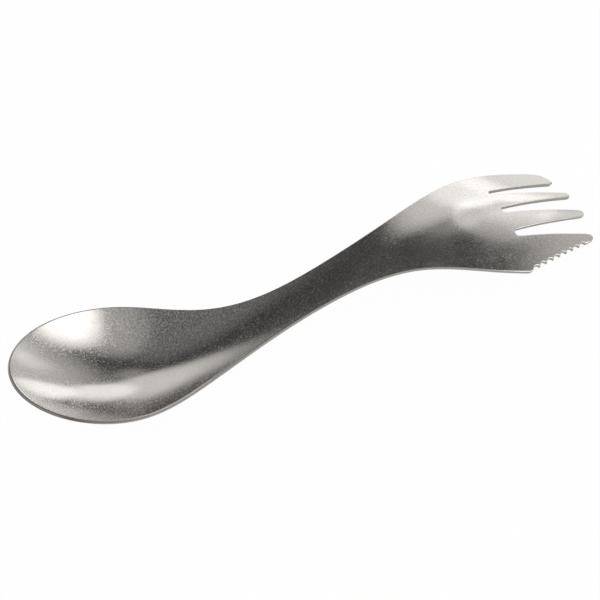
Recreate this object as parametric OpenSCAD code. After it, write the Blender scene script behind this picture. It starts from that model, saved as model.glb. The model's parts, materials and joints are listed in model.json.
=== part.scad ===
// Pocket spork: spoon, handle and fork pressed as one piece from one sheet.
// Millimetres, +Z up, the long axis along X: spoon tip at -X, tines at +X.
// The piece stands on its bowl and on its tine tips, lowest point at Z = 0.

/* [Overall] */
// Length from the spoon tip to the tips of the two middle tines
overall_length = 170.6; // [160:0.1:180]
// Sheet thickness
sheet_thickness = 1.1; // [0.9:0.1:1.6]
// Width of the bevel that stands for the tumbled edge
edge_break = 0.25; // [0.1:0.05:0.35]

/* [Spoon] */
// Greatest width of the bowl
bowl_width = 42; // [38:0.5:45]
// Distance from the spoon tip to the widest place
bowl_nose = 26.3; // [22:0.1:30]
// Depth of the dish under the line from rim to rim
bowl_depth = 7.6; // [6:0.1:9]
// Half width of the round bottom of the dish, between its straighter walls
bowl_round = 14.8; // [11:0.1:19]
// Height of the rim at the spoon tip over the lowest part of the rim
tip_rise = 18.4; // [14:0.1:20]

/* [Handle] */
// Least width of the handle
waist_width = 13.8; // [11:0.1:18]
// Distance from the spoon tip to the waist
waist_at = 86.6; // [80:0.1:92]
// Distance from the spoon tip to the lowest part of the rim
neck_at = 56.5; // [50:0.1:62]
// Climb of the edge from the neck to the shoulders of the fork
handle_climb = 10.9; // [7:0.1:14]

/* [Fork] */
// Width over the outer tines
fork_width = 40.4; // [36:0.1:44]
// Distance from the spoon tip to the crest of the edge line
crest_at = 117; // [110:0.1:122]
// Fall of the edge line from its crest to the tine tips
tine_drop = 17.5; // [10:0.1:19]
// Height of the arch across the fork
arch_height = 5; // [3:0.1:7]
// Half width of the round crown of the arch, between its straighter flanks
arch_round = 8.1; // [6:0.1:12]
// Distance from the spoon tip to where the dish starts to turn into the arch
turn_at = 31; // [26:0.5:36]
// Length over which the dish turns into the arch
turn_run = 150; // [135:1:160]
// Length of the slots between the tines
slot_length = 24.6; // [18:0.1:28]
// Distance between neighbouring slots at their closed ends
slot_pitch = 8.7; // [7.5:0.1:9]
// Width of a slot just past its round end
slot_root = 2; // [1:0.1:2.5]
// Width of a slot at the tine tips
slot_mouth = 6.2; // [5:0.1:6.8]
// Drift of the slots towards the plain side, at their mouths
slot_lean = 0.8; // [0:0.1:1.2]
// Offset of the slots towards the plain side, which leaves the serrated tine wider
slot_shift = 0.8; // [0:0.1:1.2]
// How much shorter the outer tines are
outer_tine_step = 1.5; // [1:0.1:4]

/* [Serrated edge] */
// Number of scallops
scallops = 8; // [5:1:10]
// Distance from one scallop to the next along the edge
scallop_pitch = 2.65; // [2:0.05:2.7]
// Depth of a scallop
scallop_depth = 0.85; // [0.4:0.05:1.1]
// Angle of the cutting edge to the long axis
edge_angle = 19; // [14:0.5:20]
// Extra width of the fork where the cutting edge starts
edge_shoulder = 1.3; // [0:0.1:1.5]

/* [Hidden] */
half_bowl = bowl_width / 2;
half_waist = waist_width / 2;
half_fork = fork_width / 2;
half_sheet = sheet_thickness / 2;
// Reach of the curve handles of the outline, as shares of their stretch
shoulder_at = overall_length - 14.4;
bowl_run = waist_at - bowl_nose;
fork_run = shoulder_at - waist_at;
bowl_reach = 0.273 * bowl_run;
neck_reach = 0.560 * bowl_run;
waist_reach = 0.547 * fork_run;
shoulder_reach = 0.433 * fork_run;
// Rim heights before the piece is set down
neck_height = 3.55;
tip_height = neck_height + tip_rise;
crest_height = neck_height + handle_climb;
end_height = crest_height - tine_drop;
climb_run = crest_at - neck_at;
tine_run = overall_length - crest_at;
// End slopes that keep the curvature of the edge line unbroken
tip_slope = 3 * (handle_climb * neck_at / climb_run ^ 2 - tip_rise / neck_at);
end_slope = 3 * (handle_climb * tine_run / climb_run ^ 2 - tine_drop / tine_run);
dish = bowl_depth / (fold(bowl_round, half_bowl ^ 2) - bowl_round);
arch = arch_height / (fold(arch_round, half_fork ^ 2) - arch_round);
root_at = overall_length - slot_length;
outer_end = overall_length - outer_tine_step;
cols = 6;
// The cutting edge starts this far before the slots, and its first scallop this far along it
cut_lead = 1.5;
plain_lead = 1.1;
// Where the palm starts to swell towards the cutting edge
swell_at = waist_at + 25;
// Length over which a tine is drawn to its tip
tip_round = 1.6;
// Length of the round corner of the plain outer tine, and how far its tip lies from the middle
corner = 4.5;
outer_tip = 14.5;
eps = 0.02;

// Curves

function bezier(a, b, c, d, t) =
    (1 - t) ^ 3 * a + 3 * (1 - t) ^ 2 * t * b + 3 * (1 - t) * t ^ 2 * c + t ^ 3 * d;

function hermite(p, q, m, n, run, t) =
    (2 * t ^ 3 - 3 * t ^ 2 + 1) * p + (t ^ 3 - 2 * t ^ 2 + t) * m * run
    + (3 * t ^ 2 - 2 * t ^ 3) * q + (t ^ 3 - t ^ 2) * n * run;

function step3(t) = let (u = min(1, max(0, t))) u * u * (3 - 2 * u);
// The same with no break in its curvature
function step5(t) = let (u = min(1, max(0, t))) u ^ 3 * (10 - 15 * u + 6 * u * u);

// The place along a curve whose X is wanted, by halving
function find(a, b, c, d, x, lo = 0, hi = 1, n = 22) =
    n == 0 ? (lo + hi) / 2 :
    let (m = (lo + hi) / 2)
    bezier(a, b, c, d, m) < x ? find(a, b, c, d, x, m, hi, n - 1) : find(a, b, c, d, x, lo, m, n - 1);

// Square of the half width at x, which stays smooth at the spoon tip
function width_squared(x) =
    x < bowl_nose ? half_bowl ^ 2 * (1 - ((bowl_nose - x) / bowl_nose) ^ 2) :
    x < waist_at ?
        let (t = find(bowl_nose, bowl_nose + bowl_reach, waist_at - neck_reach, waist_at, x))
        bezier(half_bowl, half_bowl, half_waist, half_waist, t) ^ 2 :
    x < shoulder_at ?
        let (t = find(waist_at, waist_at + waist_reach, shoulder_at - shoulder_reach, shoulder_at, x))
        bezier(half_waist, half_waist, half_fork, half_fork, t) ^ 2 :
    half_fork ^ 2;

function half_width(x) = sqrt(max(0, width_squared(x)));

// Height of the edge line, a wave with its low at the neck and its crest at the palm
function edge_line(x) =
    x < neck_at ? hermite(tip_height, neck_height, tip_slope, 0, neck_at, x / neck_at) :
    x < crest_at ? hermite(neck_height, crest_height, 0, 0, climb_run, (x - neck_at) / climb_run) :
    hermite(crest_height, end_height, 0, end_slope, tine_run, (x - crest_at) / tine_run);

// Across the piece the sheet is dished in the spoon and arched in the fork
function fold(half, square) = sqrt(half ^ 2 + square);
function turn(x) = step5((x - turn_at) / turn_run);
function sheet(x, y) =
    let (wide = width_squared(x), t = turn(x))
    edge_line(x)
    + (1 - t) * dish * (fold(bowl_round, y * y) - fold(bowl_round, wide))
    + t * arch * (fold(arch_round, wide) - fold(arch_round, y * y));
function slope_across(x, y) =
    (1 - turn(x)) * dish * y / fold(bowl_round, y * y) - turn(x) * arch * y / fold(arch_round, y * y);

function unit(v) = v / norm(v);
function normal(x, y) = unit([
    (sheet(x - eps, y) - sheet(x + eps, y)) / (2 * eps),
    -slope_across(x, y),
    1]);
// A point at height h over the middle of the sheet
function at(x, y, h) = [x, y, sheet(x, y)] + h * normal(x, y);

// Slots and tines

// Half the width of a slot, round at its closed end
function slot_half(x) =
    let (u = max(0, x - root_at),
         open = slot_root / 2 + (slot_mouth - slot_root) / 2 * u / slot_length,
         r = slot_root * 0.6)
    u < r ? open * sqrt(1 - (1 - u / r) ^ 2) : open;

// The edge of the blank beside the outer tines, round at its end
function blank_edge(x) =
    let (u = (x - (outer_end - corner)) / corner, w = half_width(x))
    u < 0 ? w : w - (w - outer_tip) * (1 - pow(max(0, 1 - u ^ 3), 1 / 3));

// The serrated edge cuts the blank along a straight line, from its widest place to the tip
cut_start = root_at - cut_lead;
function low_width(x) = half_width(x) + edge_shoulder * step3((x - swell_at) / (cut_start - swell_at));
function cut_line(x) = low_width(cut_start) - (x - cut_start) * tan(edge_angle);
function scallop(x) =
    let (s = (x - cut_start - plain_lead) / (scallop_pitch * cos(edge_angle)))
    s < 0 || s > scallops ? 0 :
    let (v = s - floor(s)) scallop_depth * pow(sin(180 * v), 0.7);
function knife_edge(x) = min(low_width(x), cut_line(x)) - scallop(x);

// Sides of tine k, counted from the serrated one, as [low y, high y]
function slot_mid(k, x) = slot_shift + slot_pitch * (k - 1) + slot_lean * (x - root_at) / slot_length;
function side_low(k, x) = k == 0 ? -knife_edge(x) : slot_mid(k - 1, x) + slot_half(x);
function side_high(k, x) = k == 3 ? blank_edge(x) : slot_mid(k, x) - slot_half(x);
function tine_end(k) = k == 0 || k == 3 ? outer_end : overall_length;
// Tine tips are drawn to their middle over the last stretch
function round_off(k, x) =
    let (r = tip_round, u = (x - (tine_end(k) - r)) / r) u < 0 ? 1 : sqrt(max(0.03, 1 - u * u));
function tine_sides(k, x) =
    let (a = side_low(k, x), b = side_high(k, x), m = (a + b) / 2, q = round_off(k, x))
    [m + (a - m) * q, m + (b - m) * q];

// Rings of points

// One row across a strip: edge, bevel, inner points, bevel, edge
function spread(a, b, j) =
    let (e = min(edge_break, 0.3 * (b - a)))
    j == 0 ? a : j == cols ? b :
    a + e + (b - a - 2 * e) * (j - 1) / (cols - 2);
function lift(j) = j == 0 || j == cols ? half_sheet - edge_break : half_sheet;

// The body rows hold the four strips side by side
function body_y(x, j) =
    let (w = half_width(x), f = w / half_width(root_at),
         k = min(3, floor(j / cols)), i = j - k * cols,
         a = k == 0 ? -knife_edge(x) : f * slot_mid(k - 1, root_at),
         b = k == 3 ? w : f * slot_mid(k, root_at))
    spread(a, b, i);
body_last = 4 * cols;
function body_lift(j) = j == 0 || j == body_last ? half_sheet - edge_break : half_sheet;
function body_row(x) = concat(
    [for (j = [0 : body_last]) at(x, body_y(x, j), body_lift(j))],
    [for (j = [0 : body_last]) at(x, body_y(x, j), -body_lift(j))]);
function tine_row(k, x) =
    let (s = tine_sides(k, x)) concat(
    [for (j = [0 : cols]) at(x, spread(s[0], s[1], j), lift(j))],
    [for (j = [0 : cols]) at(x, spread(s[0], s[1], j), -lift(j))]);

// Stations along the piece
nose_rows = 12;
bowl_rows = 18;
palm_rows = 16;
stations = concat(
    [for (i = [0 : nose_rows - 1]) bowl_nose * (1 - cos(4 + 86 * i / nose_rows))],
    [for (i = [0 : bowl_rows - 1]) bowl_nose + (waist_at - bowl_nose) * i / bowl_rows],
    [for (i = [0 : palm_rows]) waist_at + (cut_start - waist_at) * i / palm_rows],
    [for (u = [0.5, plain_lead, 0.5 * (plain_lead + cut_lead), cut_lead]) cut_start + u]);
function plain_stations(k) =
    let (end = tine_end(k)) concat(
    [for (u = [0.06, 0.2, 0.45, 0.8]) root_at + u * slot_root],
    k == 3 ?
        [for (i = [1 : 10]) root_at + slot_root + (end - corner - root_at - slot_root) * i / 10] :
        [for (i = [1 : 12]) root_at + slot_root + (end - tip_round - root_at - slot_root) * i / 12],
    k == 3 ?
        [for (a = [16, 30, 42, 52, 61, 69, 76, 82]) end - corner + corner * sin(a)] :
        [for (a = [20, 40, 55, 68, 78]) end - tip_round + tip_round * sin(a)]);
// The serrated tine has eight rows to a scallop
scallop_run = scallop_pitch * cos(edge_angle);
function knife_stations() =
    let (from = cut_start + plain_lead, end = tine_end(0), to = from + scallops * scallop_run,
         cut = [for (i = [0 : 8 * scallops]) from + i * scallop_run / 8]) concat(
    [for (u = [0.03, 0.12]) root_at + u * (max(from, root_at) - root_at + 0.4)],
    [for (x = cut) if (x > root_at + 0.12) x],
    [for (a = [35, 55, 68, 78]) if (end - tip_round + tip_round * sin(a) > to + 0.05) end - tip_round + tip_round * sin(a)]);

// Joins two rings that hold n points on top and n underneath
function skin(p, q, n) = concat(
    [for (j = [0 : n - 2]) [p[j], q[j], q[j + 1]]],
    [for (j = [0 : n - 2]) [p[j], q[j + 1], p[j + 1]]],
    [for (j = [0 : n - 2]) [p[n + j], q[n + j + 1], q[n + j]]],
    [for (j = [0 : n - 2]) [p[n + j], p[n + j + 1], q[n + j + 1]]],
    [[p[n - 1], q[n - 1], q[2 * n - 1]], [p[n - 1], q[2 * n - 1], p[2 * n - 1]]],
    [[p[0], q[n], q[0]], [p[0], p[n], q[n]]]);
function span(from, count) = [for (i = [0 : count - 1]) from + i];

body_points = [for (x = stations) each body_row(x)];
body_size = 2 * (body_last + 1);
body_faces = [for (i = [0 : len(stations) - 2])
    each skin(span(i * body_size, body_size), span((i + 1) * body_size, body_size), body_last + 1)];
spoon_cap = [for (j = [0 : body_last - 1])
    each [[j, j + 1, body_last + 2 + j], [j, body_last + 2 + j, body_last + 1 + j]]];

function rows_of(k) = k == 0 ? knife_stations() : plain_stations(k);
tine_rows = [for (k = [0 : 3]) rows_of(k)];
tine_size = 2 * (cols + 1);
function tine_base(k) = k == 0 ? len(body_points) : tine_base(k - 1) + tine_size * len(tine_rows[k - 1]);
// The ring of body points that tine k grows from
last_ring = (len(stations) - 1) * body_size;
function root_ring(k) = concat(
    [for (j = [0 : cols]) last_ring + k * cols + j],
    [for (j = [0 : cols]) last_ring + body_last + 1 + k * cols + j]);
function tine_ring(k, i) = i < 0 ? root_ring(k) : span(tine_base(k) + i * tine_size, tine_size);
tine_points = [for (k = [0 : 3]) each [for (x = tine_rows[k]) each tine_row(k, x)]];
tine_faces = [for (k = [0 : 3]) each [for (i = [0 : len(tine_rows[k]) - 1])
    each skin(tine_ring(k, i - 1), tine_ring(k, i), cols + 1)]];
tine_caps = [for (k = [0 : 3]) let (r = tine_ring(k, len(tine_rows[k]) - 1), n = cols + 1)
    each [for (j = [0 : cols - 1]) each [[r[j], r[n + j + 1], r[j + 1]], [r[j], r[n + j], r[n + j + 1]]]]];

all_points = concat(body_points, tine_points);
floor_level = min([for (p = all_points) p[2]]);

module spork_body() {
    translate([-overall_length / 2, 0, -floor_level])
        polyhedron(points = all_points, faces = concat(body_faces, spoon_cap, tine_faces, tine_caps), convexity = 8);
}

spork_body();
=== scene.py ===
"""Pocket spork: one sheet of tumbled stainless steel, pressed into a spoon, a handle and a fork.

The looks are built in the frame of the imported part. X runs from the spoon tip to the tines, and the
serrated tine is on the -Y side. Lengths are in millimetres until the mesh is made; the stage is in metres.
"""
import json
import math

import bpy
import numpy as np
from mathutils import Matrix, Vector

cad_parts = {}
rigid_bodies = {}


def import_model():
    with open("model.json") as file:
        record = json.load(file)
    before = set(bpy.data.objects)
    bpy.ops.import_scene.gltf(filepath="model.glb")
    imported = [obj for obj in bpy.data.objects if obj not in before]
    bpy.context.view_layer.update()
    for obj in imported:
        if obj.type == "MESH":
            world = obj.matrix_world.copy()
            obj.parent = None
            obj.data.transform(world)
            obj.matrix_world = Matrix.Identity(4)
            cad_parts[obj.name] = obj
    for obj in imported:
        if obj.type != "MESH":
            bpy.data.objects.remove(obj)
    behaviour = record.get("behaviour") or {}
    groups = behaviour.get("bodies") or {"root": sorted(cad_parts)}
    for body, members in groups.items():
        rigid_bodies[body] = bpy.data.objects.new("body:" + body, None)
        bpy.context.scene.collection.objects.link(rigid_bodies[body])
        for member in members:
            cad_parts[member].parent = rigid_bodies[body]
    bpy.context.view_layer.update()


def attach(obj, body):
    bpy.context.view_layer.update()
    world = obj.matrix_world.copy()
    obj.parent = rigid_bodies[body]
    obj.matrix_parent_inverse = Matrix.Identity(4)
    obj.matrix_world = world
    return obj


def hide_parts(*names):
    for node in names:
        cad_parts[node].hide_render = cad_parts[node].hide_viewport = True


MM = 0.001


# Colours


def srgb(code):
    """Linear colour from an sRGB hex code."""
    channels = [int(code[i:i + 2], 16) / 255 for i in (1, 3, 5)]
    linear = [c / 12.92 if c <= 0.04045 else ((c + 0.055) / 1.055) ** 2.4 for c in channels]
    return (*linear, 1.0)


# Sizes of the sheet

LENGTH = 170.6
HALF_SHEET = 0.55
# Radius that tumbling leaves on the edges
ROUND = 0.26
# Height of the solid's lowest point before the piece is set down
LOWEST = -1.744

# Sizes of the spoon: half width, distance from the tip to the widest place, depth, half width of the round
# bottom, and height of the tip over the lowest part of the rim
HALF_BOWL = 21.0
NOSE = 26.3
BOWL_DEPTH = 7.6
BOWL_ROUND = 14.8
TIP_RISE = 18.4

# Sizes of the handle: its waist, the lowest part of its edge, and the climb of the edge to the fork
HALF_WAIST = 6.9
WAIST_AT = 86.6
NECK_AT = 56.5
NECK_HEIGHT = 3.55
CLIMB = 10.9

# Sizes of the fork: half width, shoulders, crest and fall of the edge, and the arch across
HALF_FORK = 20.2
SHOULDER_AT = LENGTH - 14.4
CREST_AT = 117.0
DROP = 17.5
ARCH_HEIGHT = 5.0
ARCH_ROUND = 8.1
# Where the dish starts to turn into the arch, and over what length
TURN_AT = 31.0
TURN_RUN = 150.0
# Reach of the outline's curve handles, as shares of their stretch
NECK_REACH = (0.273, 0.56)
PALM_REACH = (0.547, 0.433)

# Sizes of the tines and of the slots between them
TINES = 4
SLOT_LENGTH = 24.6
SLOT_PITCH = 8.7
SLOT_ROOT = 2.0
SLOT_MOUTH = 6.2
SLOT_SHIFT = 0.8
SLOT_LEAN = 0.8
ROOT_AT = LENGTH - SLOT_LENGTH
# Length of a slot's round end, and of the stretch in which its edges get their full round
ROOT_ROUND = 0.6 * SLOT_ROOT
ROOT_BLEND = 0.5
# The two outer tines are shorter
OUTER_STEP = 1.5
OUTER_END = LENGTH - OUTER_STEP
TIP_ROUND = 1.6
# The corner of the plain outer tine is rounder than the solid's, by about half a millimetre at most
CORNER = 7.0
OUTER_TIP = 14.5

# Sizes of the serrated edge: the lead before the slots, the plain stretch before the first scallop,
# and the swelling of the palm towards it
CUT_LEAD = 1.5
CUT_START = ROOT_AT - CUT_LEAD
PLAIN_LEAD = 1.1
SCALLOPS = 8
SCALLOP_PITCH = 2.65
SCALLOP_DEPTH = 0.85
SCALLOP_POWER = 0.7
EDGE_ANGLE = math.radians(19.0)
SCALLOP_RUN = SCALLOP_PITCH * math.cos(EDGE_ANGLE)
SWELL_AT = WAIST_AT + 25.0
EDGE_SHOULDER = 1.3


# The form of the sheet


def bezier(a, b, c, d, t):
    return (1 - t) ** 3 * a + 3 * (1 - t) ** 2 * t * b + 3 * (1 - t) * t ** 2 * c + t ** 3 * d


def hermite(p, q, m, n, run, t):
    return ((2 * t ** 3 - 3 * t ** 2 + 1) * p + (t ** 3 - 2 * t ** 2 + t) * m * run
            + (3 * t ** 2 - 2 * t ** 3) * q + (t ** 3 - t ** 2) * n * run)


def step3(t):
    u = np.clip(t, 0.0, 1.0)
    return u * u * (3 - 2 * u)


def step5(t):
    """The same with no break in its curvature."""
    u = np.clip(t, 0.0, 1.0)
    return u ** 3 * (10 - 15 * u + 6 * u * u)


CURVE_POINTS = 40001


def curve_table(x, reach, w):
    """A stretch of the outline as close points: X and the square of the half width."""
    t = np.linspace(0.0, 1.0, CURVE_POINTS)
    run = x[1] - x[0]
    xs = bezier(x[0], x[0] + reach[0] * run, x[1] - reach[1] * run, x[1], t)
    return xs, bezier(w[0], w[0], w[1], w[1], t) ** 2


NECK_TABLE = curve_table((NOSE, WAIST_AT), NECK_REACH, (HALF_BOWL, HALF_WAIST))
PALM_TABLE = curve_table((WAIST_AT, SHOULDER_AT), PALM_REACH, (HALF_WAIST, HALF_FORK))


def width_squared(x):
    """Square of the half width, which stays smooth at the spoon tip."""
    neck = np.interp(x, *NECK_TABLE)
    palm = np.interp(x, *PALM_TABLE)
    nose = HALF_BOWL ** 2 * (1 - ((NOSE - x) / NOSE) ** 2)
    return np.where(x < NOSE, nose, np.where(x < WAIST_AT, neck, palm))


def half_width(x):
    return np.sqrt(np.maximum(0.0, width_squared(x)))


def edge_line(x):
    """Height of the edge: a wave with its low at the neck and its crest at the palm."""
    climb_run = CREST_AT - NECK_AT
    tine_run = LENGTH - CREST_AT
    tip = NECK_HEIGHT + TIP_RISE
    crest = NECK_HEIGHT + CLIMB
    tip_slope = 3 * (CLIMB * NECK_AT / climb_run ** 2 - TIP_RISE / NECK_AT)
    end_slope = 3 * (CLIMB * tine_run / climb_run ** 2 - DROP / tine_run)
    spoon = hermite(tip, NECK_HEIGHT, tip_slope, 0, NECK_AT, x / NECK_AT)
    handle = hermite(NECK_HEIGHT, crest, 0, 0, climb_run, (x - NECK_AT) / climb_run)
    fork = hermite(crest, crest - DROP, 0, end_slope, tine_run, (x - CREST_AT) / tine_run)
    return np.where(x < NECK_AT, spoon, np.where(x < CREST_AT, handle, fork))


def fold(half, square):
    """A section that is round within half of its middle and straighter beyond."""
    return np.sqrt(half ** 2 + square)


DISH = BOWL_DEPTH / (fold(BOWL_ROUND, HALF_BOWL ** 2) - BOWL_ROUND)
ARCH = ARCH_HEIGHT / (fold(ARCH_ROUND, HALF_FORK ** 2) - ARCH_ROUND)


def sheet(x, y):
    """Middle of the sheet: dished in the spoon, arched in the fork."""
    wide = width_squared(x)
    turn = step5((x - TURN_AT) / TURN_RUN)
    dish = DISH * (fold(BOWL_ROUND, y * y) - fold(BOWL_ROUND, wide))
    arch = ARCH * (fold(ARCH_ROUND, wide) - fold(ARCH_ROUND, y * y))
    return edge_line(x) + (1 - turn) * dish + turn * arch


def slope_across(x, y):
    turn = step5((x - TURN_AT) / TURN_RUN)
    dish = DISH * y / fold(BOWL_ROUND, y * y)
    arch = ARCH * y / fold(ARCH_ROUND, y * y)
    return (1 - turn) * dish - turn * arch


def at(x, y, lift):
    """Points at a height over the middle of the sheet, along its normal."""
    nudge = 0.02
    slope = (sheet(x + nudge, y) - sheet(x - nudge, y)) / (2 * nudge)
    normal = np.stack([-slope, -slope_across(x, y), np.ones_like(slope)], -1)
    normal /= np.linalg.norm(normal, axis=-1, keepdims=True)
    return np.stack([x, y, sheet(x, y)], -1) + np.asarray(lift)[..., None] * normal


# Outline of the tines


def swollen_width(x):
    """Half width of the blank on the serrated side, where the palm swells towards the cutting edge."""
    return half_width(x) + EDGE_SHOULDER * step3((x - SWELL_AT) / (CUT_START - SWELL_AT))


def scallop(x):
    """Depth of the scallops along the cutting edge."""
    s = (x - CUT_START - PLAIN_LEAD) / SCALLOP_RUN
    inside = (s > 0) & (s < SCALLOPS)
    return np.where(inside, SCALLOP_DEPTH * np.abs(np.sin(np.pi * s)) ** SCALLOP_POWER, 0.0)


def knife_edge(x):
    """The serrated side: the blank, cut along a straight line with scallops."""
    start = swollen_width(np.array([CUT_START]))[0]
    cut = start - (x - CUT_START) * math.tan(EDGE_ANGLE)
    return np.minimum(swollen_width(x), cut) - scallop(x)


def blank_edge(x):
    """The plain side, round at its end."""
    u = np.clip((x - (OUTER_END - CORNER)) / CORNER, 0.0, 1.0)
    wide = half_width(x)
    return wide - (wide - OUTER_TIP) * (1 - np.cbrt(1 - u ** 3))


def slot_half(x):
    """Half width of a slot, which widens from its round end to its mouth."""
    u = np.maximum(0.0, x - ROOT_AT)
    wide = SLOT_ROOT / 2 + (SLOT_MOUTH - SLOT_ROOT) / 2 * u / SLOT_LENGTH
    arc = np.sqrt(np.maximum(0.0, 1 - (1 - u / ROOT_ROUND) ** 2))
    return np.where(u < ROOT_ROUND, wide * arc, wide)


def slot_mid(k, x):
    return SLOT_SHIFT + SLOT_PITCH * (k - 1) + SLOT_LEAN * (x - ROOT_AT) / SLOT_LENGTH


def tine_end(k):
    return OUTER_END if k in (0, TINES - 1) else LENGTH


def tine_sides(k, x):
    """Low and high side of tine k, counted from the serrated one, drawn together at the tip."""
    low = -knife_edge(x) if k == 0 else slot_mid(k - 1, x) + slot_half(x)
    high = blank_edge(x) if k == TINES - 1 else slot_mid(k, x) - slot_half(x)
    u = np.clip((x - (tine_end(k) - TIP_ROUND)) / TIP_ROUND, 0.0, 1.0)
    pull = np.sqrt(np.maximum(0.0, 1 - u * u))
    mid = (low + high) / 2
    return mid + (low - mid) * pull, mid + (high - mid) * pull


# Rows of points across the sheet

# Points on the round of an edge, and points between the two edges of a strip
EDGE_STEPS = 5
INNER = 10
# The most that an edge takes of a narrow strip
EDGE_SHARE = 0.3
# Width of the band that shows as the cut face
CUT_BAND = ROUND / 3
SPREAD = np.concatenate([
    ROUND * (1 - np.cos(np.linspace(0, np.pi / 2, EDGE_STEPS))), [ROUND * 1.5]])
STRIP = 2 * len(SPREAD) + INNER

# Rows along each stretch
TIP_ANGLES = np.concatenate([np.arange(0.8, 12, 0.8), np.arange(12, 90, 1.5)])
SPOON_ROWS = 80
PALM_ROWS = 76
LEAD_ROWS = 9
ROOT_ROWS = 12
TINE_ROWS = 60
TINE_TIP_ROWS = 26
SCALLOP_ROWS = 18
# Angles of the first row past a slot's end and of the last row before a tine's tip
ROOT_FIRST = 0.12
TINE_TIP_LAST = math.radians(87)
# Least distance between two rows
ROW_GAP = 0.04


def across(low, high):
    """Places across a strip: close together where the edges are round, even between."""
    room = high - low
    near = np.minimum(SPREAD, EDGE_SHARE * room * SPREAD / SPREAD[-1])
    inner = np.linspace(near[-1], room - near[-1], INNER + 2)[1:-1]
    return low + np.concatenate([near, inner, room - near[::-1]])


def rounded(distance):
    """How far the surface lies below the full sheet, at a distance from the edge."""
    u = np.clip(1 - distance / ROUND, 0.0, 1.0)
    return ROUND * (1 - np.sqrt(1 - u * u))


def cut_share(distance):
    """One on the cut face of the sheet, nothing on its two broad faces."""
    return np.clip(1 - distance / CUT_BAND, 0.0, 1.0)


def body_row(x):
    """Upper points, lower points and cut shares across the spoon, the handle or the palm."""
    w = float(half_width(np.array([x]))[0])
    share = w / float(half_width(np.array([ROOT_AT]))[0])
    knife = float(knife_edge(np.array([x]))[0])
    marks = [-knife, *(share * slot_mid(k, ROOT_AT) for k in range(TINES - 1)), w]
    y = np.concatenate([across(marks[k], marks[k + 1])[(1 if k else 0):] for k in range(TINES)])
    xs = np.full_like(y, x)
    nudge = 0.01
    tiny = 1e-9
    if x < NOSE:
        grow = (width_squared(xs + nudge) - width_squared(xs - nudge)) / (2 * nudge)
        distance = (width_squared(xs) - y * y) / np.sqrt(grow ** 2 + 4 * y * y + tiny)
    else:
        distance = np.where(y < 0, knife, w) - np.abs(y)
    distance = np.maximum(distance, 0.0)
    lift = HALF_SHEET - rounded(distance)
    return at(xs, y, lift), at(xs, y, -lift), cut_share(distance)


def tine_row(k, x):
    """The same across tine k."""
    nudge = 0.004
    here = np.array([x - nudge, x, x + nudge])
    low, high = tine_sides(k, here)
    y = across(low[1], high[1])
    xs = np.full_like(y, x)
    low_tilt = math.hypot(1, (low[2] - low[0]) / (2 * nudge))
    high_tilt = math.hypot(1, (high[2] - high[0]) / (2 * nudge))
    distance = np.minimum((y - low[1]) / low_tilt, (high[1] - y) / high_tilt)
    grown = min(1.0, (x - ROOT_AT) / ROOT_BLEND)
    lift = HALF_SHEET - rounded(distance) * grown
    return at(xs, y, lift), at(xs, y, -lift), cut_share(distance)


def stations():
    """Places of the rows from the spoon tip to the closed ends of the slots."""
    nose = NOSE * (1 - np.cos(np.radians(TIP_ANGLES)))
    spoon = np.linspace(NOSE, WAIST_AT, SPOON_ROWS, endpoint=False)
    palm = np.linspace(WAIST_AT, CUT_START, PALM_ROWS, endpoint=False)
    lead = np.linspace(CUT_START, ROOT_AT, LEAD_ROWS)
    return np.concatenate([nose, spoon, palm, lead])


def tine_stations(k):
    """Places of the rows along tine k, which follow the scallops on the serrated one."""
    start = tine_end(k) - TIP_ROUND
    root = ROOT_AT + ROOT_ROUND * (1 - np.cos(np.linspace(ROOT_FIRST, np.pi / 2, ROOT_ROWS)))
    tip = start + TIP_ROUND * np.sin(np.linspace(0, TINE_TIP_LAST, TINE_TIP_ROWS))
    if k == 0:
        steps = np.arange(0, SCALLOPS * SCALLOP_ROWS + 1) / SCALLOP_ROWS
        cut = CUT_START + PLAIN_LEAD + SCALLOP_RUN * steps
        body = cut[(cut > root[-1] + ROW_GAP) & (cut < tip[0] - ROW_GAP)]
    else:
        body = np.linspace(root[-1], tip[0], TINE_ROWS)[1:-1]
    return np.concatenate([root, body, tip])


def spork_mesh():
    """Points, faces and cut shares of the whole piece: one skin from the spoon tip to the tine tips."""
    points = []
    cuts = []
    faces = []

    def ring(row):
        first = sum(len(p) for p in points)
        points.extend(row[:2])
        cuts.extend([row[2], row[2]])
        size = len(row[0])
        return np.arange(first, first + size), np.arange(first + size, first + 2 * size)

    def skin(p, q):
        for j in range(len(p[0]) - 1):
            faces.append((p[0][j], q[0][j], q[0][j + 1], p[0][j + 1]))
            faces.append((p[1][j + 1], q[1][j + 1], q[1][j], p[1][j]))
        faces.append((p[1][0], q[1][0], q[0][0], p[0][0]))
        faces.append((p[0][-1], q[0][-1], q[1][-1], p[1][-1]))

    def cap(r, ahead):
        for j in range(len(r[0]) - 1):
            quad = (r[0][j], r[1][j], r[1][j + 1], r[0][j + 1])
            faces.append(quad if ahead else quad[::-1])

    rows = [ring(body_row(x)) for x in stations()]
    cap(rows[0], False)
    for p, q in zip(rows, rows[1:]):
        skin(p, q)
    for k in range(TINES):
        first = k * (STRIP - 1)
        before = tuple(side[first:first + STRIP] for side in rows[-1])
        for x in tine_stations(k):
            after = ring(tine_row(k, x))
            skin(before, after)
            before = after
        cap(before, True)
    return np.concatenate(points), faces, np.concatenate(cuts)


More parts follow.
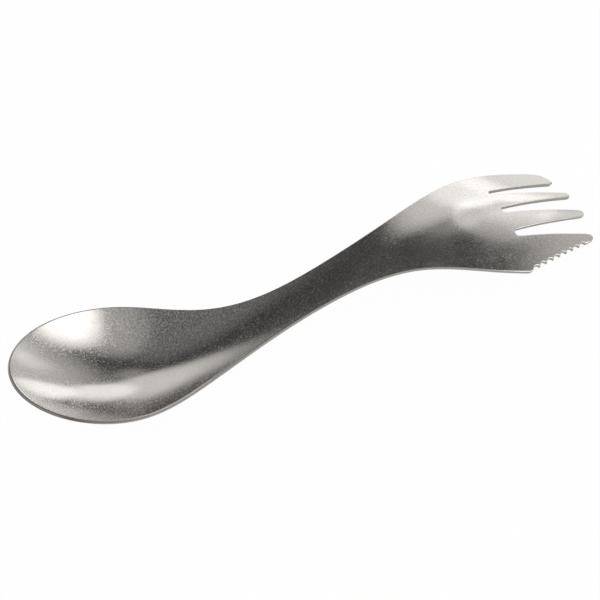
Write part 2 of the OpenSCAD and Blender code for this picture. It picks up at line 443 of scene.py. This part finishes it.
def make_spork():
    """The piece as a smooth mesh in metres, with its cut faces marked for the material."""
    points, faces, cuts = spork_mesh()
    points = (points - [LENGTH / 2, 0, LOWEST]) * MM
    mesh = bpy.data.meshes.new("spork")
    mesh.from_pydata(points.tolist(), [], [tuple(int(i) for i in f) for f in faces])
    mesh.attributes.new("cut", "FLOAT", "POINT").data.foreach_set("value", cuts)
    mesh.update()
    mesh.shade_smooth()
    obj = bpy.data.objects.new("spork", mesh)
    bpy.context.scene.collection.objects.link(obj)
    return obj


# Materials


def add(tree, kind, spot, settings=None, inputs=None):
    """A node with its settings, its socket values and its links; a socket goes by its name or number."""
    node = tree.nodes.new(kind)
    node.location = spot
    for name, value in (settings or {}).items():
        setattr(node, name, value)
    for name, value in (inputs or {}).items():
        if isinstance(value, bpy.types.NodeSocket):
            tree.links.new(value, node.inputs[name])
        else:
            node.inputs[name].default_value = value
    return node


# Numbers of a colour mix's two colours and of its result
FIRST = 6
SECOND = 7
MIXED = 2

# Width and depth of the pits that tumbling leaves, and width of the cloudy patches, in millimetres
PIT = 0.5
PIT_DEPTH = 0.06
PATCH = 4.0
# The pits thin out from the spoon to the fork between these two places along X
PIT_FADE = (-30.0, 30.0)
# Painted glints: the grain's tone grows stronger behind the spoon tip, fades along the handle, and keeps to
# the plain side of Y; the stronger specks stand for pits that catch the lamp there
GLINT_GROW = (-64.0, -42.0)
GLINT_FADE = (-20.0, 50.0)
GLINT_SIDE = (-6.0, 10.0)
# Roughness of the metal, from its brightest to its dullest patches, and what a pit adds in spoon and fork
SATIN = (0.12, 0.18)
PIT_SATIN = (0.2, 0.06)


def steel():
    """Tumbled stainless: satin grey metal whose fine pitted grain breaks up each reflection, with painted
    glints in the grain of the spoon's rear and a cut edge darkened partly by painted shade.
    """
    mat = bpy.data.materials.new("tumbled_stainless")
    mat.use_nodes = True
    tree = mat.node_tree
    tree.nodes.clear()
    soft = {"interpolation_type": "SMOOTHSTEP"}
    rgb = {"data_type": "RGBA"}
    place = add(tree, "ShaderNodeTexCoord", (-1700, 0)).outputs["Object"]
    split = add(tree, "ShaderNodeSeparateXYZ", (-1500, 600), inputs={"Vector": place})
    along = split.outputs["X"]
    aside = split.outputs["Y"]
    # Pits about half a millimetre wide, coarser than the real ones, so that they show
    pattern = add(tree, "ShaderNodeTexNoise", (-1500, 200), inputs={
        "Vector": place, "Scale": 1 / (PIT * MM), "Detail": 4.0, "Roughness": 0.6})
    grain = pattern.outputs["Fac"]
    # Cloudy patches, where the tumbling took more or less
    cloud = add(tree, "ShaderNodeTexNoise", (-1500, -100), inputs={
        "Vector": place, "Scale": 1 / (PATCH * MM), "Detail": 4.0, "Roughness": 0.6})
    satin = add(tree, "ShaderNodeMapRange", (-800, -100), inputs={
        "Value": cloud.outputs["Fac"], "From Min": 0.3, "From Max": 0.7,
        "To Min": SATIN[0], "To Max": SATIN[1]})
    # The pits scatter light, so they show pale where the metal mirrors something dark; most are in the spoon
    most = add(tree, "ShaderNodeMapRange", (-1100, -600), soft, {
        "Value": along, "From Min": PIT_FADE[0] * MM, "From Max": PIT_FADE[1] * MM,
        "To Min": PIT_SATIN[0], "To Max": PIT_SATIN[1]})
    pits = add(tree, "ShaderNodeMapRange", (-800, -400), inputs={
        "Value": grain, "From Min": 0.5, "From Max": 0.7,
        "To Min": 0.0, "To Max": most.outputs["Result"]})
    rough = add(tree, "ShaderNodeMath", (-550, -100), {"operation": "ADD"}, {
        0: satin.outputs["Result"], 1: pits.outputs["Result"]})
    # The tone of the grain differs most on the plain side of the spoon's rear: beyond the grain's own tone,
    # this extra contrast is painted glints, paler and darker specks that stand for pits catching the lamp
    grow = add(tree, "ShaderNodeMapRange", (-1300, 900), soft, {
        "Value": along, "From Min": GLINT_GROW[0] * MM, "From Max": GLINT_GROW[1] * MM,
        "To Min": 0.0, "To Max": 1.0})
    fade = add(tree, "ShaderNodeMapRange", (-1100, 800), soft, {
        "Value": along, "From Min": GLINT_FADE[0] * MM, "From Max": GLINT_FADE[1] * MM,
        "To Min": grow.outputs["Result"], "To Max": 0.0})
    painted_glints = add(tree, "ShaderNodeMapRange", (-900, 700), soft, {
        "Value": aside, "From Min": GLINT_SIDE[0] * MM, "From Max": GLINT_SIDE[1] * MM,
        "To Min": 0.0, "To Max": fade.outputs["Result"]})
    # Dark and pale ends of the grain, with the painted glints' stronger contrast mixed in where the mask is
    # strong
    dark = add(tree, "ShaderNodeMix", (-700, 500), rgb, {
        "Factor": painted_glints.outputs["Result"], FIRST: srgb("#d9d4cf"), SECOND: srgb("#a29e9a")})
    pale = add(tree, "ShaderNodeMix", (-700, 250), rgb, {
        "Factor": painted_glints.outputs["Result"], FIRST: srgb("#efebe6"), SECOND: srgb("#fffcf8")})
    tone = add(tree, "ShaderNodeMapRange", (-1100, 250), inputs={
        "Value": grain, "From Min": 0.36, "From Max": 0.66, "To Min": 0.0, "To Max": 1.0})
    colour = add(tree, "ShaderNodeMix", (-500, 350), rgb, {
        "Factor": tone.outputs["Result"], FIRST: dark.outputs[MIXED], SECOND: pale.outputs[MIXED]})
    # The cut edge is darker than the faces: partly its own duller sheared metal, partly painted shade that
    # stands for the shadowed floor it mirrors
    cut = add(tree, "ShaderNodeAttribute", (-500, 600), {"attribute_name": "cut"})
    edge = add(tree, "ShaderNodeMix", (-300, 350), rgb, {
        "Factor": cut.outputs["Fac"], FIRST: colour.outputs[MIXED], SECOND: srgb("#a8a39d")})
    bump = add(tree, "ShaderNodeBump", (-550, -250), inputs={
        "Height": grain, "Strength": 0.12, "Distance": PIT_DEPTH * MM})
    shader = add(tree, "ShaderNodeBsdfPrincipled", (-100, 100), inputs={
        "Base Color": edge.outputs[MIXED], "Metallic": 1.0,
        "Roughness": rough.outputs[0], "Normal": bump.outputs["Normal"]})
    add(tree, "ShaderNodeOutputMaterial", (250, 100), inputs={"Surface": shader.outputs["BSDF"]})
    return mat


# Share of plain white in the floor, as the camera sees it and as the metal mirrors it
WHITE_SEEN = 0.97
WHITE_MIRRORED = 0.4


def paper():
    """White floor: pale enough to vanish into the background, with a soft shadow left under the piece."""
    mat = bpy.data.materials.new("white_floor")
    mat.use_nodes = True
    tree = mat.node_tree
    tree.nodes.clear()
    path = add(tree, "ShaderNodeLightPath", (-800, 300))
    seen = add(tree, "ShaderNodeMath", (-550, 300), {"operation": "MULTIPLY"}, {
        0: path.outputs["Is Camera Ray"], 1: WHITE_SEEN})
    share = add(tree, "ShaderNodeMath", (-350, 300), {"operation": "MULTIPLY_ADD"}, {
        0: path.outputs["Is Glossy Ray"], 1: WHITE_MIRRORED, 2: seen.outputs[0]})
    matte = add(tree, "ShaderNodeBsdfDiffuse", (-350, 0), inputs={"Color": srgb("#f7f7f7")})
    glow = add(tree, "ShaderNodeEmission", (-350, -150), inputs={"Color": srgb("#ffffff"), "Strength": 1.0})
    mix = add(tree, "ShaderNodeMixShader", (-100, 100), inputs={
        0: share.outputs[0], 1: matte.outputs[0], 2: glow.outputs[0]})
    add(tree, "ShaderNodeOutputMaterial", (150, 100), inputs={"Surface": mix.outputs[0]})
    return mat


# Studio

# Each wall: azimuth from +X and elevation, inner and outer angle, brightness
WALLS = (
    # Overhead
    (-137, 77, 1, 55, 0.20),
    # Behind and to the right, for the palm and the tines
    (66, 17, 9, 15, 1.06),
    (54, 5, 8, 12, 1.30),
    (83, 26, 14, 25, 0.71),
    (60, 45, 1, 14, 0.28),
    # On the right, for the bands in the spoon and the tips of the tines
    (26, 5, 1, 47, 0.60),
    (26, 20, 4, 11, 0.82),
    # Around the lamp of the spoon
    (-34, 62, 1, 36, 0.42),
    (-22, 35, 15, 27, 1.67),
    # In front, for the near rim
    (-75, 12, 20, 50, 0.50),
    # On the left, for views from other sides
    (145, 14, 16, 32, 0.70),
    (200, 15, 24, 50, 0.55),
)
# Brightness of the room between the walls, at the horizon and from some way up
HORIZON = 0.14
CEILING = 0.058
CEILING_FROM = 0.4
# The room is darker below its walls, and gets its full brightness between these two heights
GAP = (-0.02, 0.04)
GAP_SHARE = 0.35
# Brightness of the room as the floor gets it
ROOM = 0.8


def make_world():
    """A dark room with bright walls for the metal, even light for the floor, plain white for the camera."""
    world = bpy.data.worlds.new("studio")
    bpy.context.scene.world = world
    world.use_nodes = True
    tree = world.node_tree
    tree.nodes.clear()
    soft = {"interpolation_type": "SMOOTHSTEP"}
    outward = add(tree, "ShaderNodeTexCoord", (-1200, 0)).outputs["Generated"]

    def wall(azimuth, elevation, inner, outer, glow):
        """Brightness of a wall around a direction, full within inner degrees and gone beyond outer."""
        a = math.radians(azimuth)
        e = math.radians(elevation)
        middle = (math.cos(a) * math.cos(e), math.sin(a) * math.cos(e), math.sin(e))
        dot = add(tree, "ShaderNodeVectorMath", (-1000, -azimuth * 4), {"operation": "DOT_PRODUCT"}, {
            0: outward, 1: middle})
        fall = add(tree, "ShaderNodeMapRange", (-800, -azimuth * 4), soft, {
            "Value": dot.outputs["Value"], "From Min": math.cos(math.radians(outer)),
            "From Max": math.cos(math.radians(inner)), "To Min": 0.0, "To Max": glow})
        return fall.outputs["Result"]

    height = add(tree, "ShaderNodeSeparateXYZ", (-1000, 300), inputs={"Vector": outward}).outputs["Z"]
    low = add(tree, "ShaderNodeMapRange", (-800, 300), soft, {
        "Value": height, "From Min": 0.0, "From Max": CEILING_FROM, "To Min": HORIZON, "To Max": CEILING})
    light = low.outputs["Result"]
    for panel in WALLS:
        join = add(tree, "ShaderNodeMath", (-550, 100), {"operation": "MAXIMUM"}, {0: light, 1: wall(*panel)})
        light = join.outputs[0]
    gap = add(tree, "ShaderNodeMapRange", (-800, 450), soft, {
        "Value": height, "From Min": GAP[0], "From Max": GAP[1], "To Min": GAP_SHARE, "To Max": 1.0})
    level = add(tree, "ShaderNodeMath", (-550, 300), {"operation": "MULTIPLY"}, {
        0: light, 1: gap.outputs["Result"]})
    path = add(tree, "ShaderNodeLightPath", (-800, 600))
    plain = add(tree, "ShaderNodeMath", (-600, 500), {"operation": "MAXIMUM"}, {
        0: path.outputs["Is Camera Ray"], 1: path.outputs["Is Diffuse Ray"]})
    bright = add(tree, "ShaderNodeMath", (-600, 700), {"operation": "MULTIPLY_ADD"}, {
        0: path.outputs["Is Diffuse Ray"], 1: ROOM, 2: path.outputs["Is Camera Ray"]})
    room = add(tree, "ShaderNodeBackground", (-400, 0), inputs={
        "Color": srgb("#ffffff"), "Strength": level.outputs[0]})
    white = add(tree, "ShaderNodeBackground", (-400, 200), inputs={
        "Color": srgb("#ffffff"), "Strength": bright.outputs[0]})
    mix = add(tree, "ShaderNodeMixShader", (-150, 100), inputs={
        0: plain.outputs[0], 1: room.outputs[0], 2: white.outputs[0]})
    add(tree, "ShaderNodeOutputWorld", (100, 100), inputs={"Surface": mix.outputs[0]})


def make_floor(half):
    """A square floor, half of it on each side of the piece."""
    mesh = bpy.data.meshes.new("floor")
    corners = [(-half, -half, 0), (half, -half, 0), (half, half, 0), (-half, half, 0)]
    mesh.from_pydata(corners, [], [(0, 1, 2, 3)])
    floor = bpy.data.objects.new("floor", mesh)
    floor.data.materials.append(paper())
    bpy.context.scene.collection.objects.link(floor)


def make_lamp(name, place, aim, size, glow, spread=180.0):
    """A soft box that shines glow times as bright as the white background, straight ahead of it."""
    data = bpy.data.lights.new(name, "AREA")
    data.shape = "ELLIPSE"
    data.size, data.size_y = size
    data.spread = math.radians(spread)
    # A narrower spread would otherwise brighten the face of the lamp
    half = data.spread / 2
    data.energy = glow * math.pi * size[0] * size[1] * math.pi / 4 * (1 - half / math.tan(half))
    lamp = bpy.data.objects.new(name, data)
    lamp.location = place
    lamp.rotation_euler = (Vector(aim) - Vector(place)).to_track_quat("-Z", "Y").to_euler()
    lamp.visible_camera = False
    bpy.context.scene.collection.objects.link(lamp)


def make_camera(azimuth, elevation, roll, distance, lens, aim):
    """Camera at a distance from its aim, turned about its own line of sight by roll."""
    a, e, r = (math.radians(v) for v in (azimuth, elevation, roll))
    back = Vector((math.sin(a) * math.cos(e), -math.cos(a) * math.cos(e), math.sin(e)))
    right = Vector((math.cos(a), math.sin(a), 0))
    up = back.cross(right)
    across_view = math.cos(r) * right + math.sin(r) * up
    up_view = -math.sin(r) * right + math.cos(r) * up
    place = Vector(aim) + distance * back
    data = bpy.data.cameras.new("camera")
    data.sensor_width = 36.0
    data.lens = lens
    data.clip_start = 0.01
    data.clip_end = 20.0
    camera = bpy.data.objects.new("camera", data)
    turn = Matrix((across_view, up_view, back)).transposed().to_4x4()
    camera.matrix_world = Matrix.Translation(place) @ turn
    bpy.context.scene.collection.objects.link(camera)
    bpy.context.scene.camera = camera


# The scene

for unused in list(bpy.data.objects):
    bpy.data.objects.remove(unused)
bpy.context.scene.view_settings.view_transform = "Standard"
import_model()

spork = make_spork()
spork.data.materials.append(steel())
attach(spork, "root")
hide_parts("spork_body")

make_floor(half=0.45)
make_world()
make_lamp("bowl_box", place=(0.275, -0.154, 0.269), aim=(-0.058, 0.0, 0.008),
          size=(0.192, 0.213), glow=0.4)
make_lamp("fork_box", place=(0.122, 0.056, 0.068), aim=(0.067, 0.0, 0.014),
          size=(0.092, 0.092), glow=0.65, spread=74.0)
make_camera(azimuth=-5.4, elevation=51.55, roll=-16.2, distance=0.280, lens=57.8,
            aim=(-0.0030, 0.0002, 0.0085))
